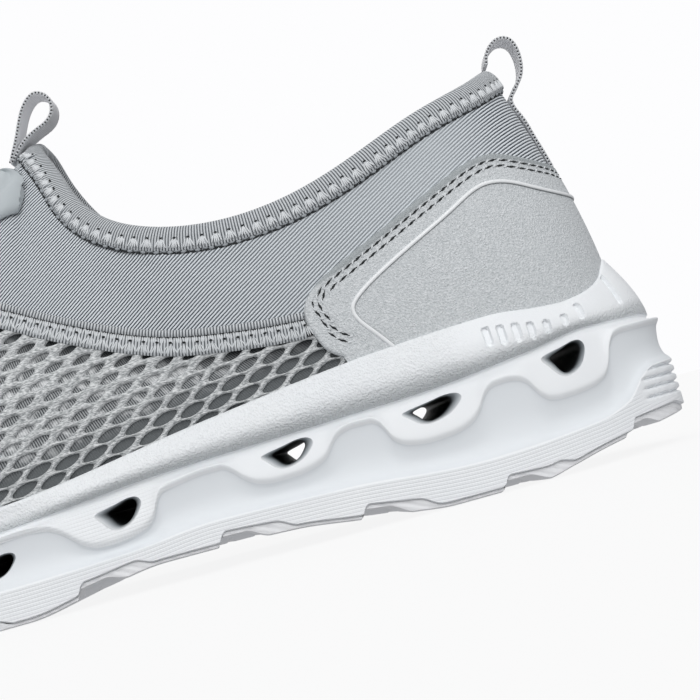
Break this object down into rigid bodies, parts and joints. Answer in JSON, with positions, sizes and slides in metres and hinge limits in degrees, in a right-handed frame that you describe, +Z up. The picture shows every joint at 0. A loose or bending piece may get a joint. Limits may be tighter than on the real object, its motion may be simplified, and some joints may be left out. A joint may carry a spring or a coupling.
{
  "type": "slip-on walking shoe",
  "caption": "Left slip-on walking shoe: hollow fabric upper with a bound collar, heel counter and pull loops on a moulded sole with tunnels and a lugged tread.",
  "frame": {"origin": "centre of the shoe's box on the floor it stands on", "axes": "+X to the toe, +Y to the outer side of the foot, +Z up"},
  "size_m": [0.2928, 0.1025, 0.1316],
  "materials": {
    "midsole": "white moulded foam, satin",
    "outsole": "pale rubber, matt",
    "insole": "foam bed with a cloth top",
    "upper": "grey stretch fabric and open mesh",
    "heel_counter": "smooth coated sheet, satin",
    "counter_piping": "smooth coated sheet, satin",
    "collar_binding": "knitted binding tape with covering stitches",
    "seam_binding": "knitted tape and a twilled roll",
    "heel_pull_tape": "woven webbing",
    "front_pull_loop": "woven webbing",
    "instep_badge": "soft moulded rubber, satin"
  },
  "bodies": {
    "root": {"midsole": "midsole", "outsole": "outsole", "insole": "insole", "upper": "upper", "heel_counter": "heel_counter", "counter_piping": "counter_piping", "collar_binding": "collar_binding", "seam_binding": "seam_binding", "heel_pull_tape": "heel_pull_tape", "front_pull_loop": "front_pull_loop", "instep_badge": "instep_badge"}
  },
  "joints": []
}
